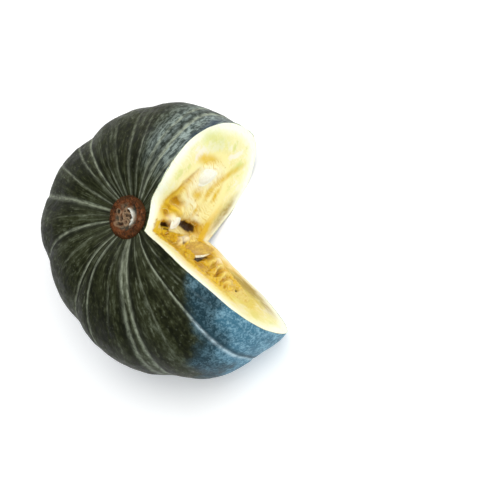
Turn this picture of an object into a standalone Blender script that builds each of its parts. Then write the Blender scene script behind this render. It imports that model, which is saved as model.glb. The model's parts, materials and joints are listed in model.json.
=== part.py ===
"""Kabocha squash with a wedge cut out of it, standing on its blossom end.

Metres, +Z up along the core of the fruit. The wedge opens towards -Y. The origin is under the middle of
the fruit, on the surface that it stands on.
"""

import math

import bmesh
import bpy
from mathutils import Matrix, Vector

# The rind, before the wedge is cut away. Heights count from the widest girth.
MEAN_RADIUS = 0.085  # from the core to the rind, averaged round the girth
CROWN_HEIGHT = 0.0543  # up to the crown, without the dimple round the stem
BASE_DEPTH = 0.0418  # down to the underside, without the dimple at the blossom end
CROWN_FULLNESS = 0.89  # below 1, the side above the girth is fuller than an ellipse
BASE_FULLNESS = 0.86
FLATNESS = 0.79  # below 1, the crown and the underside are flatter than an ellipse
STEM_DIMPLE = (0.0136, 0.0235)  # depth and reach
BLOSSOM_DIMPLE = (0.0155, 0.0293)
FOOT_FLAT = 0.0009  # height lost where the ribs rest
# The outline bulges unevenly: (lobes round the fruit, share of the radius, degrees of one lobe)
SWELLS = ((1, 0.085, -148.4), (2, 0.070, -131.7), (3, 0.016, -154.4), (4, 0.011, -111.4), (5, 0.009, -71.3))
GROOVES = (-43.0, -6.0, 29.0, 66.0, 96.0, 132.0, 176.0, 208.0)  # degrees from +X
GROOVE_DEPTH = 0.014  # share of the radius
GROOVE_WIDTH = 6.5  # degrees

# The wedge that was cut away. The inner edge of the notch passes just beside the stem.
NOTCH_EDGE = (-0.0045, -0.0097)  # at the height of the girth
NOTCH_LEAN = (-0.060, 0.012)  # how far the edge moves sideways for each metre up
CUT_DEGREES = {"left": -139.8, "right": -40.2}  # the way each cut face runs from the edge
NOTCH_REACH = 0.16

# The seed cavity, and the stringy pulp in it
SIDE_WALL = 0.0250
CAVITY_MIDDLE = 0.0075
CAVITY_HALF_HEIGHT = 0.0235
CAVITY_FULLNESS = 0.80
TEAR_DEPTH = 0.0040  # how unevenly the wedge pulled the pulp away
TEAR_SIZE = 0.0110
GAP = 0.0004  # between touching pieces

# The scar left by the stalk: a low corky ring round a sunk middle
STEM_RADIUS = 0.0118
STEM_RIM = 0.0052
STEM_SHIFT = (0.0006, 0.0010)  # from the core

SEED_LENGTH, SEED_WIDTH, SEED_THICKNESS = 0.0175, 0.0105, 0.0040
# The seeds that the cuts bared: (cut face, middle in mm, way the tip points, way the flat side faces).
# Each triple is (out from the inner edge, up, out of the cut face).
SEEDS = (
    ("right", (38.0, 10.8, 0.2), (0.52, -0.85, 0.06), (0.00, 0.06, 1.00)),
    ("right", (8.0, 15.5, -1.0), (-0.70, 0.55, 0.45), (0.30, -0.20, 0.90)),
    ("right", (25.0, -3.0, -0.8), (0.88, 0.42, -0.20), (0.15, -0.10, 0.95)),
    ("left", (16.1, 6.0, 1.8), (0.50, -0.50, 0.71), (0.54, 0.82, 0.20)),
    ("left", (6.5, -6.5, 0.6), (-0.45, 0.70, 0.55), (0.75, 0.20, 0.60)),
    ("left", (29.0, -6.5, 1.0), (0.89, -0.45, 0.05), (0.00, 0.10, 1.00)),
    ("left", (45.0, 5.0, -0.4), (0.95, 0.10, -0.25), (0.20, 0.20, 0.95)),
)

FINISHES = {  # colour, roughness
    "rind": ((0.030, 0.042, 0.024), 0.42),
    "cork": ((0.150, 0.066, 0.026), 0.85),
    "pulp": ((0.760, 0.420, 0.060), 0.60),
    "seed_coat": ((0.800, 0.660, 0.400), 0.50),
}

BODY_MESH = (72, 34)  # segments round, rings from pole to pole
CAVITY_MESH = (40, 16)
SEED_MESH = (14, 8)
STEM_STEPS = 32
FAR = 0.30  # past the whole fruit, for cutters


def clear_scene():
    for item in list(bpy.data.objects):
        bpy.data.objects.remove(item)


def new_collection(name):
    group = bpy.data.collections.new(name)
    bpy.context.scene.collection.children.link(group)
    return group


def finish(name):
    colour, roughness = FINISHES[name]
    made = bpy.data.materials.new(name)
    made.use_nodes = True
    shader = made.node_tree.nodes["Principled BSDF"]
    shader.inputs["Base Color"].default_value = (*colour, 1.0)
    shader.inputs["Roughness"].default_value = roughness
    shader.inputs["Metallic"].default_value = 0.0
    return made


def put_in(item, group):
    for old in list(item.users_collection):
        old.objects.unlink(item)
    group.objects.link(item)


def as_piece(item, group, surface, sharp_degrees=35.0):
    put_in(item, group)
    item.data.materials.append(surface)
    item.data.shade_smooth()
    item.data.set_sharp_from_angle(angle=math.radians(sharp_degrees))
    return item


def as_cutter(item, group):
    put_in(item, group)
    item.hide_render = True
    item.display_type = "WIRE"
    return item


def cut(item, tool):
    modifier = item.modifiers.new("cut_" + tool.name, "BOOLEAN")
    modifier.operation = "DIFFERENCE"
    modifier.solver = "EXACT"
    modifier.object = tool


def ease(value, low, high):
    """0 up to low, 1 from high on, and a smooth rise between them."""
    share = min(1.0, max(0.0, (value - low) / (high - low)))
    return share * share * (3.0 - 2.0 * share)


def groove(azimuth):
    """1 along the bottom of a groove between two ribs, fading to 0 on the ribs."""
    degrees = math.degrees(azimuth)
    nearest = min(abs((degrees - at + 180.0) % 360.0 - 180.0) for at in GROOVES)
    return math.exp(-((nearest / GROOVE_WIDTH) ** 2))


def swell(azimuth):
    return sum(share * math.cos(lobes * (azimuth - math.radians(at))) for lobes, share, at in SWELLS)


def rind_height(girth, upper):
    """Height of the rind where a level ring round the core is this share of the widest girth."""
    fullness = CROWN_FULLNESS if upper else BASE_FULLNESS
    rise = (1.0 - girth ** (2.0 / fullness)) ** (FLATNESS / 2.0)
    depth, reach = STEM_DIMPLE if upper else BLOSSOM_DIMPLE
    dimple = depth * math.exp(-((girth * MEAN_RADIUS / reach) ** 2))
    return CROWN_HEIGHT * rise - dimple if upper else dimple - BASE_DEPTH * rise


def rind_point(latitude, azimuth, raised=0.0):
    upper = latitude > 0.0
    girth = math.cos(latitude) ** (CROWN_FULLNESS if upper else BASE_FULLNESS)
    reach = girth * MEAN_RADIUS * (1.0 + swell(azimuth) * min(1.0, 1.3 * girth))
    ribbed = 1.0 - GROOVE_DEPTH * groove(azimuth) * ease(girth, 0.15, 0.55)
    height = rind_height(girth, upper) + raised
    return Vector((reach * math.cos(azimuth), reach * math.sin(azimuth), height)) * ribbed


def cavity_point(latitude, azimuth, inset=0.0):
    """A point on the wall of the seed cavity, or inset from it for what fills the cavity."""
    girth = math.cos(latitude) ** CAVITY_FULLNESS
    reach = girth * (MEAN_RADIUS * (1.0 + swell(azimuth)) - SIDE_WALL - inset)
    height = CAVITY_MIDDLE + (CAVITY_HALF_HEIGHT - inset) * math.sin(latitude)
    return Vector((reach * math.cos(azimuth), reach * math.sin(azimuth), height))


def seed_point(latitude, azimuth, grow=0.0):
    """A point on a flat drop-shaped seed lying along X with its tip at +X, or this far outside it."""
    along = math.cos(latitude) * math.cos(azimuth)
    across = math.cos(latitude) * math.sin(azimuth) * (1.04 - 0.34 * along - 0.16 * along**2)
    return Vector(
        (
            along * (SEED_LENGTH / 2 + grow),
            across * (SEED_WIDTH / 2 + grow),
            math.sin(latitude) * (SEED_THICKNESS / 2 + grow),
        )
    )


def shaped_sphere(name, mesh_size, place):
    """A sphere whose vertices are moved to place(latitude, azimuth)."""
    segments, rings = mesh_size
    bpy.ops.mesh.primitive_uv_sphere_add(segments=segments, ring_count=rings, radius=1.0)
    item = bpy.context.active_object
    item.name = name
    for vertex in item.data.vertices:
        latitude = math.asin(max(-1.0, min(1.0, vertex.co.z)))
        vertex.co = place(latitude, math.atan2(vertex.co.y, vertex.co.x))
    return item


def notch_direction(face):
    angle = math.radians(CUT_DEGREES[face])
    return Vector((math.cos(angle), math.sin(angle), 0.0))


def notch_edge(height):
    """The point of the leaning inner edge at this height."""
    return Vector((*NOTCH_EDGE, 0.0)) + height * Vector((*NOTCH_LEAN, 1.0))


def notch_wedge(name, group, reach, half_height):
    """A three-cornered block, leaning with the inner edge, that fills the notch out to this reach."""
    outline = bpy.data.curves.new(name + "_outline", "CURVE")
    outline.dimensions = "2D"
    outline.fill_mode = "BOTH"
    outline.extrude = half_height
    edge = notch_edge(0.0)
    corners = (edge, edge + reach * notch_direction("left"), edge + reach * notch_direction("right"))
    spline = outline.splines.new("POLY")
    spline.points.add(len(corners) - 1)
    for point, corner in zip(spline.points, corners):
        point.co = (*corner, 1.0)
    spline.use_cyclic_u = True
    curve = bpy.data.objects.new(name + "_outline", outline)
    group.objects.link(curve)
    solid = bpy.data.meshes.new_from_object(curve.evaluated_get(bpy.context.evaluated_depsgraph_get()))
    bpy.data.objects.remove(curve)
    work = bmesh.new()
    work.from_mesh(solid)
    bmesh.ops.remove_doubles(work, verts=work.verts, dist=0.00001)
    bmesh.ops.recalc_face_normals(work, faces=work.faces)
    for vertex in work.verts:
        vertex.co.xy += vertex.co.z * Vector(NOTCH_LEAN)
    work.to_mesh(solid)
    work.free()
    item = bpy.data.objects.new(name, solid)
    return as_cutter(item, group)


def torn_wedge(name, group):
    """The notch as the pulp shows it, pulled rough where the body is sliced clean."""
    item = notch_wedge(name, group, NOTCH_REACH, CAVITY_HALF_HEIGHT * 2)
    finer = item.modifiers.new("finer", "SUBSURF")
    finer.subdivision_type = "SIMPLE"
    finer.levels = finer.render_levels = 5
    lumps = bpy.data.textures.new("lumps", "CLOUDS")
    lumps.noise_scale = TEAR_SIZE
    tear = item.modifiers.new("tear", "DISPLACE")
    tear.texture = lumps
    tear.texture_coords = "LOCAL"
    tear.strength = TEAR_DEPTH
    tear.mid_level = 0.45
    return item


def table_block(name, group, top):
    """A block that cuts the underside level at this height."""
    depth = 0.05
    bpy.ops.mesh.primitive_cube_add(size=1.0)
    item = bpy.context.active_object
    item.name = name
    item.data.transform(Matrix.Diagonal((FAR, FAR, depth, 1.0)))
    item.data.transform(Matrix.Translation((0.0, 0.0, top - depth / 2)))
    return as_cutter(item, group)


def make_body(parts, cutters):
    """The flesh and its rind, cut open, hollow, with a level foot."""
    body = shaped_sphere("squash_body", BODY_MESH, rind_point)
    foot = min(vertex.co.z for vertex in body.data.vertices) + FOOT_FLAT
    as_piece(body, parts, finish("rind"))
    cut(body, as_cutter(shaped_sphere("cavity", CAVITY_MESH, cavity_point), cutters))
    cut(body, notch_wedge("notch", cutters, NOTCH_REACH, CROWN_HEIGHT * 2))
    cut(body, table_block("table", cutters, foot))
    return body, foot


def make_stem(parts, cutters):
    """The scar of the stalk, turned round its middle and seated in the dimple."""
    floor = rind_height(0.0, True)
    outline = [(0.0, 0.60), (0.26, 0.57), (0.50, 0.66), (0.68, 0.93), (0.86, 1.0), (1.0, 0.86), (1.05, 0.60)]
    outline += [(1.0, 0.0), (0.0, 0.0)]
    profile = [(STEM_RADIUS * share, floor + STEM_RIM * rise) for share, rise in outline]
    mesh = bpy.data.meshes.new("stem_scar")
    mesh.from_pydata([(x, 0.0, z) for x, z in profile], [(i, i + 1) for i in range(len(profile) - 1)], [])
    stem = bpy.data.objects.new("stem_scar", mesh)
    stem.location = (*STEM_SHIFT, 0.0)
    turn = stem.modifiers.new("turn", "SCREW")
    turn.steps = turn.render_steps = STEM_STEPS
    turn.use_merge_vertices = True
    turn.merge_threshold = 0.00001
    as_piece(stem, parts, finish("cork"))
    seat = shaped_sphere("stem_seat", BODY_MESH, lambda lat, az: rind_point(lat, az, GAP))
    cut(stem, as_cutter(seat, cutters))


def seed_matrix(face, middle, tip, flat):
    """Turns a seed's own frame, tip at +X and flat side up, to how it lies in a cut face."""
    out = notch_direction(face)
    up = Vector((0.0, 0.0, 1.0))
    gap = out.cross(up) if face == "right" else up.cross(out)

    def in_face(triple):
        return out * triple[0] + up * triple[1] + gap * triple[2]

    along = in_face(tip).normalized()
    across = in_face(flat).cross(along).normalized()
    turned = Matrix((along, across, along.cross(across))).transposed().to_4x4()
    where = in_face(middle) / 1000
    return Matrix.Translation(where - up * where.z + notch_edge(where.z)) @ turned


def make_pulp_and_seeds(parts, cutters):
    """The pulp that fills the cavity, and the seeds bedded where the cuts bared it."""
    filling = shaped_sphere("seed_pulp", CAVITY_MESH, lambda lat, az: cavity_point(lat, az, GAP))
    pulp = as_piece(filling, parts, finish("pulp"))
    cut(pulp, torn_wedge("torn_notch", cutters))
    coat = finish("seed_coat")
    pieces = [pulp]
    for number, lie in enumerate(SEEDS, start=1):
        seed = as_piece(shaped_sphere(f"seed_{number:02d}", SEED_MESH, seed_point), parts, coat, 60.0)
        pocket = shaped_sphere(f"pocket_{number:02d}", SEED_MESH, lambda lat, az: seed_point(lat, az, GAP))
        seed.matrix_world = pocket.matrix_world = seed_matrix(*lie)
        cut(pulp, as_cutter(pocket, cutters))
        pieces.append(seed)
    return pieces


def stand_on_origin(items, body, foot):
    """Hangs everything on one empty, moved so that the middle of the fruit stands on the origin."""
    bpy.context.view_layer.update()
    shown = body.evaluated_get(bpy.context.evaluated_depsgraph_get())
    corners = [Vector(corner) for corner in shown.bound_box]
    middle = [(min(axis) + max(axis)) / 2 for axis in zip(*corners)]
    core = bpy.data.objects.new("core", None)
    bpy.context.scene.collection.objects.link(core)
    for item in items:
        item.parent = core
    core.location = (-middle[0], -middle[1], -foot)


def main():
    clear_scene()
    parts = new_collection("kabocha_squash")
    cutters = new_collection("cutters")
    body, foot = make_body(parts, cutters)
    make_stem(parts, cutters)
    make_pulp_and_seeds(parts, cutters)
    stand_on_origin([*parts.objects, *cutters.objects], body, foot)


main()
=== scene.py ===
import json
import math

import bmesh
import bpy
import numpy as np
from mathutils import Matrix, Vector

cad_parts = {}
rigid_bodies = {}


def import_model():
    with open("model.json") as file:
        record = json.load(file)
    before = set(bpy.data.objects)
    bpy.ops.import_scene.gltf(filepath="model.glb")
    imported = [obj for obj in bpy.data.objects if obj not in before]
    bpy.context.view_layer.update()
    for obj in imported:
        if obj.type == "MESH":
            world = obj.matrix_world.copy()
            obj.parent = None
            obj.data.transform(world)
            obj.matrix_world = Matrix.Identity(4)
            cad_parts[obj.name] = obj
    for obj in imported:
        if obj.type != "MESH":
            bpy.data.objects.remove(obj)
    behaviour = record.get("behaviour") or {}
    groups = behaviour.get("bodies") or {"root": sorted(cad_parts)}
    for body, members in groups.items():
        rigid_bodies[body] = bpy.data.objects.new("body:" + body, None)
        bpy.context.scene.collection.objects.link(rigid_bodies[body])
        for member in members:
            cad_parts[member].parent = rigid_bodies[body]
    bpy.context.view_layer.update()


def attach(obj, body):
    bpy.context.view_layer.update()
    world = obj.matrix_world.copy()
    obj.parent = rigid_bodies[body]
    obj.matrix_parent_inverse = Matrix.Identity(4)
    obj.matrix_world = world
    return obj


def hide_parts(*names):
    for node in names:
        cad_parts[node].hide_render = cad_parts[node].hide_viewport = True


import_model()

millimetre = 0.001
sides = ("right", "left")  # the two cut faces, as seen from the front
upright = np.array([0, 0, 1])

# The fruit's own measures in metres, as the CAD has them. Heights count from the widest girth.
fruit = {
    "core": (0.006592, -0.008409, 0.035494),  # where the core crosses the girth
    "meanRadius": 0.085,
    "crownHeight": 0.0543,
    "baseDepth": 0.0418,
    "crownFullness": 0.89,
    "baseFullness": 0.86,
    "flatness": 0.79,
    "stemDimple": (0.0136, 0.0235),  # depth, reach
    "blossomDimple": (0.0155, 0.0293),
    # lobes round the girth, how far they swell, degrees from +X
    "swells": ((1, 0.085, -148.4), (2, 0.07, -131.7), (3, 0.016, -154.4), (4, 0.011, -111.4),
               (5, 0.009, -71.3)),
    "grooves": (-43, -6, 29, 66, 96, 132, 176, 208),
    "grooveDepth": 0.014,
    "grooveWidth": 6.5,
}
core = np.array(fruit["core"])

notch = {
    "edge": (-0.0045, -0.0097, 0),  # where the cuts meet, and how that line leans
    "lean": (-0.06, 0.012, 1),
    "ways": {"left": -139.8, "right": -40.2},
    # the corner curves away from the stem at the top, between these heights and this far out
    "cornerShift": (-0.0039, -0.0006, 0),
    "cornerRise": (0.018, 0.046),
    "cornerFade": {"left": 0.026, "right": 0.014},
    # bends of each cut: how far, then between which distances out and up they set in
    "bends": {
        "left": ((-0.0018, 0.056, 0.086, -0.03, -0.008), (-0.0022, 0.006, 0.024, -0.008, -0.03)),
        "right": ((-0.002, 0.03, 0.06, 0.005, 0.032),),
    },
    "bendFade": 0.005,  # no bow right at the inner edge
    # the right cut bows towards the stem before it straightens: how far, middle, half width
    "bow": {"left": (0, 0.015, 0.0085), "right": (-0.0021, 0.015, 0.0085)},
    "fine": 0.099,  # finely gridded this far out, then coarsely
    "reach": 0.17,
    "low": -0.046,
    "high": 0.058,
    "cell": 0.00086,
    "waviness": 0.00022,
    "waveSize": 0.016,
    "scoreSize": 0.0031,
    "waveFade": 0.006,
}

cavity = {
    "sideWall": 0.025,
    "middle": 0.0075,
    "halfHeight": 0.0235,
    "fullness": 0.8,
    "lumps": (0.0009, 0.0085),  # height, size
    "gap": 0.00006,  # between the pulp and the flesh
    "rings": 70,
    "columns": 200,
}


# Shared helpers

def ease(value, low, high):
    share = np.clip((value - low) / (high - low), 0, 1)
    return share * share * (3 - 2 * share)


def bump(value, width, power=2):
    # a soft hump round zero
    return np.exp(-((value / width) ** power))


def blend(first, second, share):
    return first * (1 - share) + second * share


def wrapDegrees(degrees):
    return (degrees + 180) % 360 - 180


def unit(vectors):
    return vectors / np.linalg.norm(vectors, axis=-1, keepdims=True)


def polar(points):
    # how far round each point lies and how far out from the upright axis
    return np.arctan2(points[..., 1], points[..., 0]), np.hypot(points[..., 0], points[..., 1])


def stack(*parts):
    return np.stack(parts, axis=-1)


def quads(*corners):
    return stack(*corners).reshape(-1, 4).tolist()


def fromPolar(azimuth, reach, height):
    return stack(reach * np.cos(azimuth), reach * np.sin(azimuth), height)


def grid(first, second):
    return np.meshgrid(first, second, indexing="ij")


def softNoise(points, size, seed, octaves=3):
    # smooth random field between about -1 and 1, the same on every run
    table = np.random.default_rng(seed).random(4096) * 2 - 1
    shape = points.shape[:-1]
    spot = points.reshape(-1, 3) / size + 31.7
    total, share, weight = 0, 1, 0
    for _ in range(octaves):
        cell = np.floor(spot).astype(np.int64)
        part = spot - cell
        part = part * part * (3 - 2 * part)
        value = 0
        for corner in range(8):
            step = np.array([corner & 1, corner >> 1 & 1, corner >> 2 & 1])
            at = (cell + step) * (73856093, 19349663, 83492791)
            key = (at[:, 0] ^ at[:, 1] ^ at[:, 2]) & 4095
            value = value + table[key] * np.where(step, part, 1 - part).prod(axis=1)
        total = total + value * share
        weight += share
        share *= 0.5
        spot = spot * 2.03 + 7.7
    return (total / weight * 1.6).reshape(shape)


def relief(points, heightAndSize, seed):
    return heightAndSize[0] * softNoise(points, heightAndSize[1], seed, 2)


def addObject(name, mesh):
    item = bpy.data.objects.new(name, mesh)
    bpy.context.scene.collection.objects.link(item)
    return item


def meshObject(name, points, faces):
    mesh = bpy.data.meshes.new(name)
    mesh.from_pydata(points.tolist(), [], faces)
    return addObject(name, mesh)


def closedGrid(name, rows):
    # a closed skin from rings of points, from the top ring down, with a fan at each end
    ringCount, columns, _ = rows.shape
    points = np.concatenate([rows.reshape(-1, 3), [rows[0].mean(axis=0)], [rows[-1].mean(axis=0)]])
    index = np.arange(ringCount * columns).reshape(ringCount, columns)
    after = np.roll(index, -1, axis=1)
    faces = quads(index[:-1], index[1:], after[1:], after[:-1])
    top = ringCount * columns
    faces += [(top, a, b) for a, b in zip(index[0].tolist(), after[0].tolist())]
    faces += [(top + 1, b, a) for a, b in zip(index[-1].tolist(), after[-1].tolist())]
    return meshObject(name, points, faces)


def meshPoints(mesh):
    flat = np.empty(len(mesh.vertices) * 3)
    mesh.vertices.foreach_get("co", flat)
    return flat.reshape(-1, 3)


def store(mesh, name, values, kind="FLOAT"):
    # one number, colour or vector for each vertex, for a material to read
    layer = mesh.attributes.new(name, kind, "POINT")
    if kind == "FLOAT_COLOR":
        values = np.column_stack([values, np.ones(len(values))])
    field = {"FLOAT": "value", "FLOAT_COLOR": "color", "FLOAT_VECTOR": "vector"}[kind]
    layer.data.foreach_set(field, values.astype(np.float32).ravel())


def applyModifiers(item):
    graph = bpy.context.evaluated_depsgraph_get()
    solid = bpy.data.meshes.new_from_object(item.evaluated_get(graph))
    item.modifiers.clear()
    item.data = solid


def cutAway(item, tool):
    cutting = item.modifiers.new("cut", "BOOLEAN")
    cutting.operation = "DIFFERENCE"
    cutting.solver = "MANIFOLD"
    cutting.object = tool
    applyModifiers(item)
    bpy.data.objects.remove(tool)


def editMesh(mesh, change):
    work = bmesh.new()
    work.from_mesh(mesh)
    change(work)
    work.to_mesh(mesh)
    work.free()


def shadeCrisp(mesh, degrees):
    # smooth, but crisp where two finishes meet or the cut turns sharply
    def crease(work):
        for edge in work.edges:
            faces = edge.link_faces
            if len(faces) == 2:
                meets = faces[0].material_index != faces[1].material_index
                turns = faces[0].material_index == 1 and edge.calc_face_angle(0) > math.radians(degrees)
                edge.smooth = not (meets or turns)

    mesh.shade_smooth()
    editMesh(mesh, crease)


# Node helpers: each returns the socket that the next one reads

inHand = {}  # the finish being made: its tree, material, shader and named tints


def addNode(kind, inputs=None, **settings):
    made = inHand["tree"].nodes.new(kind)
    for key, value in settings.items():
        setattr(made, key, value)
    for key, value in (inputs or {}).items():
        if isinstance(value, bpy.types.Node):
            value = value.outputs[0]
        if isinstance(value, bpy.types.NodeSocket):
            inHand["tree"].links.new(value, made.inputs[key])
        else:
            made.inputs[key].default_value = value
    return made


def doMath(operation, first, second, clamp=False):
    return addNode("ShaderNodeMath", {0: first, 1: second}, operation=operation, use_clamp=clamp).outputs[0]


def times(first, second, clamp=False):
    return doMath("MULTIPLY", first, second, clamp)


def plus(first, second):
    return doMath("ADD", first, second)


def minus(first, second):
    return doMath("SUBTRACT", first, second)


def doVector(operation, first, second=(0, 0, 0)):
    return addNode("ShaderNodeVectorMath", {0: first, 1: second}, operation=operation).outputs[0]


def asTint(value):
    # a socket, a colour, or the name of one of the finish's tints
    value = inHand["tints"][value] if isinstance(value, str) else value
    return (*value, 1) if isinstance(value, tuple) else value


def mixColours(factor, first, second, way="MIX"):
    values = {0: factor, 6: asTint(first), 7: asTint(second)}
    return addNode("ShaderNodeMix", values, data_type="RGBA", blend_type=way).outputs[2]


def layers(colour, *coats):
    # lays coats over a colour: each is how much of it shows, and its colour
    for share, tint in coats:
        colour = mixColours(share, colour, tint)
    return colour


def spread(value, low, high, to=(0, 1)):
    values = {"Value": value, "From Min": low, "From Max": high, "To Min": to[0], "To Max": to[1]}
    return addNode("ShaderNodeMapRange", values, interpolation_type="SMOOTHSTEP").outputs[0]


def read(name, output="Fac"):
    return addNode("ShaderNodeAttribute", attribute_name=name).outputs[output]


def addNoise(vector, scale, detail=3, roughness=0.5, distortion=0):
    values = {"Vector": vector, "Scale": scale, "Detail": detail, "Roughness": roughness,
              "Distortion": distortion}
    return addNode("ShaderNodeTexNoise", values).outputs["Fac"]


def addRamp(factor, stops):
    made = addNode("ShaderNodeValToRGB", {0: factor})
    elements = made.color_ramp.elements
    while len(elements) < len(stops):
        elements.new(0.5)
    for element, (place, colour) in zip(elements, stops):
        element.position = place
        element.color = asTint(colour)
    return made.outputs[0]


def addBump(height, strength, distance, normal=None):
    values = {"Height": height, "Strength": strength, "Distance": distance}
    if normal:
        values["Normal"] = normal
    return addNode("ShaderNodeBump", values).outputs[0]


def newFinish(name, tints, **sockets):
    # a material with its shader; constants go on the shader's own sockets
    made = bpy.data.materials.new(name)
    made.use_nodes = True
    shader = made.node_tree.nodes["Principled BSDF"]
    inHand.update(tree=made.node_tree, made=made, shader=shader, tints=tints)
    for key, value in sockets.items():
        shader.inputs[key.replace("_", " ")].default_value = value
    return addNode("ShaderNodeTexCoord").outputs["Object"]


def endFinish(**sockets):
    for key, value in sockets.items():
        inHand["tree"].links.new(value, inHand["shader"].inputs[key.replace("_", " ")])
    return inHand["made"]


# Camera, floor and light

view = {
    "away": (-0.28233, -0.49872, 0.81949),  # from the core to the camera
    "right": (-0.06592, -0.84214, -0.53521),
    "up": (0.95705, -0.20513, 0.20488),
    "distance": 0.5867,
    "lens": 71.95,
    "sensor": 36,
    "nearest": 0.01,
    "aimRight": 0.0424,  # the fruit stands left of the middle of the frame
    "aimUp": -0.00535,
}

light = {
    "sky": (0.93, 0.965, 1),
    "skyStrength": 0.38,
    "floorHalf": 12,
    "floorGlow": 0.28,
    "floorTints": {"pale": (0.955, 0.955, 0.955), "grain": (0.940675, 0.940675, 0.940675)},
    "lampsRound": (0, 0, 0.04),
    # name: (way from the fruit, distance, size, power, colour)
    "lamps": {
        "keyLamp": ((0.1, -0.55, 0.85), 1.5, 1, 16.5, (1, 0.985, 0.95)),
        "farLamp": ((0.95, 0.35, 0.55), 1.7, 1.2, 6, (0.95, 0.98, 1)),
        "blueLamp": ((-0.75, -0.85, 0.1), 1.4, 1, 7, (0.55, 0.78, 1)),
    },
}


def makeCamera():
    right, up, away = (Vector(view[key]).normalized() for key in ("right", "up", "away"))
    middle = Vector(fruit["core"])
    stand = middle + away * view["distance"]
    aim = middle + right * view["aimRight"] + up * view["aimUp"]
    back = (stand - aim).normalized()
    side = up.cross(back).normalized()
    lens = bpy.data.cameras.new("camera")
    lens.lens = view["lens"]
    lens.sensor_width = view["sensor"]
    lens.clip_start = view["nearest"]
    camera = addObject("camera", lens)
    turned = Matrix((side, back.cross(side), back)).transposed().to_4x4()
    camera.matrix_world = Matrix.Translation(stand) @ turned
    bpy.context.scene.camera = camera


def makeLight():
    world = bpy.data.worlds.new("softSky")
    world.use_nodes = True
    background = world.node_tree.nodes["Background"]
    background.inputs["Color"].default_value = (*light["sky"], 1)
    background.inputs["Strength"].default_value = light["skyStrength"]
    bpy.context.scene.world = world
    for name, (way, distance, size, power, colour) in light["lamps"].items():
        lamp = bpy.data.lights.new(name, "AREA")
        lamp.shape = "DISK"
        lamp.size = size
        lamp.energy = power
        lamp.color = colour
        holder = addObject(name, lamp)
        away = Vector(way).normalized()
        holder.location = away * distance + Vector(light["lampsRound"])
        holder.rotation_euler = away.to_track_quat("Z", "Y").to_euler()
    bpy.context.scene.view_settings.view_transform = "Standard"


def makeFloor():
    half = light["floorHalf"]
    corners = np.array([(-half, -half, 0), (half, -half, 0), (half, half, 0), (-half, half, 0)])
    floor = meshObject("floor", corners, [(0, 1, 2, 3)])
    place = newFinish("paleFloor", light["floorTints"], Roughness=0.8, Specular_IOR_Level=0.2,
                      Emission_Color=(1, 1, 1, 1), Emission_Strength=light["floorGlow"])
    grain = addNoise(place, 60, 2)
    floor.data.materials.append(endFinish(Base_Color=mixColours(grain, "pale", "grain")))


makeCamera()
makeLight()
makeFloor()
print("camera, light and floor are set")


# The shape of the fruit

def swell(azimuth):
    return sum(share * np.cos(lobes * (azimuth - math.radians(at))) for lobes, share, at in fruit["swells"])


def rindPoints(latitude, azimuth):
    # points on the rind, counted from the core at the height of the girth
    upper = latitude > 0
    girth = np.maximum(np.cos(latitude), 0) ** np.where(upper, fruit["crownFullness"], fruit["baseFullness"])
    rise = np.abs(np.sin(latitude)) ** fruit["flatness"]
    depth, width = (np.where(upper, *pair) for pair in zip(fruit["stemDimple"], fruit["blossomDimple"]))
    dimple = depth * bump(girth * fruit["meanRadius"], width)
    height = np.where(upper, fruit["crownHeight"] * rise - dimple, dimple - fruit["baseDepth"] * rise)
    reach = girth * fruit["meanRadius"] * (1 + swell(azimuth) * np.minimum(1, 1.3 * girth))
    nearest = np.min([np.abs(wrapDegrees(np.degrees(azimuth) - at)) for at in fruit["grooves"]], axis=0)
    furrow = bump(nearest, fruit["grooveWidth"]) * ease(girth, 0.15, 0.55)
    return fromPolar(azimuth, reach, height) * (1 - fruit["grooveDepth"] * furrow)[..., None]


def cavityPoints(latitude, azimuth, inset):
    girth = np.maximum(np.cos(latitude), 0) ** cavity["fullness"]
    reach = girth * (fruit["meanRadius"] * (1 + swell(azimuth)) - cavity["sideWall"] - inset)
    return fromPolar(azimuth, reach, cavity["middle"] + (cavity["halfHeight"] - inset) * np.sin(latitude))


def evenLatitudes(count):
    fine = np.linspace(np.pi / 2, -np.pi / 2, 3000)
    steps = np.linalg.norm(np.diff(rindPoints(fine, np.full_like(fine, 2.6)), axis=0), axis=1)
    length = np.append(0, np.cumsum(steps))
    return np.interp(np.linspace(0, length[-1], count + 2)[1:-1], length, fine)


def distanceToProfile(points, samples=170):
    # how far inside the rind each point lies, measured in the upright plane through the core
    azimuth, reach = polar(points)
    latitude, azimuth = np.broadcast_arrays(evenLatitudes(samples), azimuth[:, None])
    outline = rindPoints(latitude, azimuth)
    outline = stack(polar(outline)[1], outline[..., 2])
    start, along = outline[:, :-1], np.diff(outline, axis=1)
    here = stack(reach, points[:, 2])[:, None] - start
    share = np.clip((here * along).sum(-1) / np.maximum((along**2).sum(-1), 1e-12), 0, 1)
    return np.sqrt(((here - along * share[..., None]) ** 2).sum(-1)).min(axis=1)


def distanceFromCavity(points):
    # roughly how far outside the seed cavity each point lies
    azimuth, reach = polar(points)
    widest = fruit["meanRadius"] * (1 + swell(azimuth)) - cavity["sideWall"]
    tall = np.abs(points[..., 2] - cavity["middle"]) / cavity["halfHeight"]
    fill = (reach / widest) ** (2 / cavity["fullness"]) + tall**2
    return (fill**0.45 - 1) * np.where(tall > 0.6, cavity["halfHeight"], 0.7 * widest)


def leanAlong(out, up, degrees):
    # the same place counted along and across a line that leans this much
    angle = math.radians(degrees)
    return out * math.cos(angle) + up * math.sin(angle), up * math.cos(angle) - out * math.sin(angle)


def faceWay(side):
    angle = math.radians(notch["ways"][side])
    return np.array([math.cos(angle), math.sin(angle), 0])


def gapWay(side):
    # square to the cut face, out of the flesh and into the notch
    return np.cross(faceWay(side), upright if side == "right" else -upright)


def innerEdge(up):
    return np.array(notch["edge"]) + np.asarray(up)[..., None] * notch["lean"]


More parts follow.
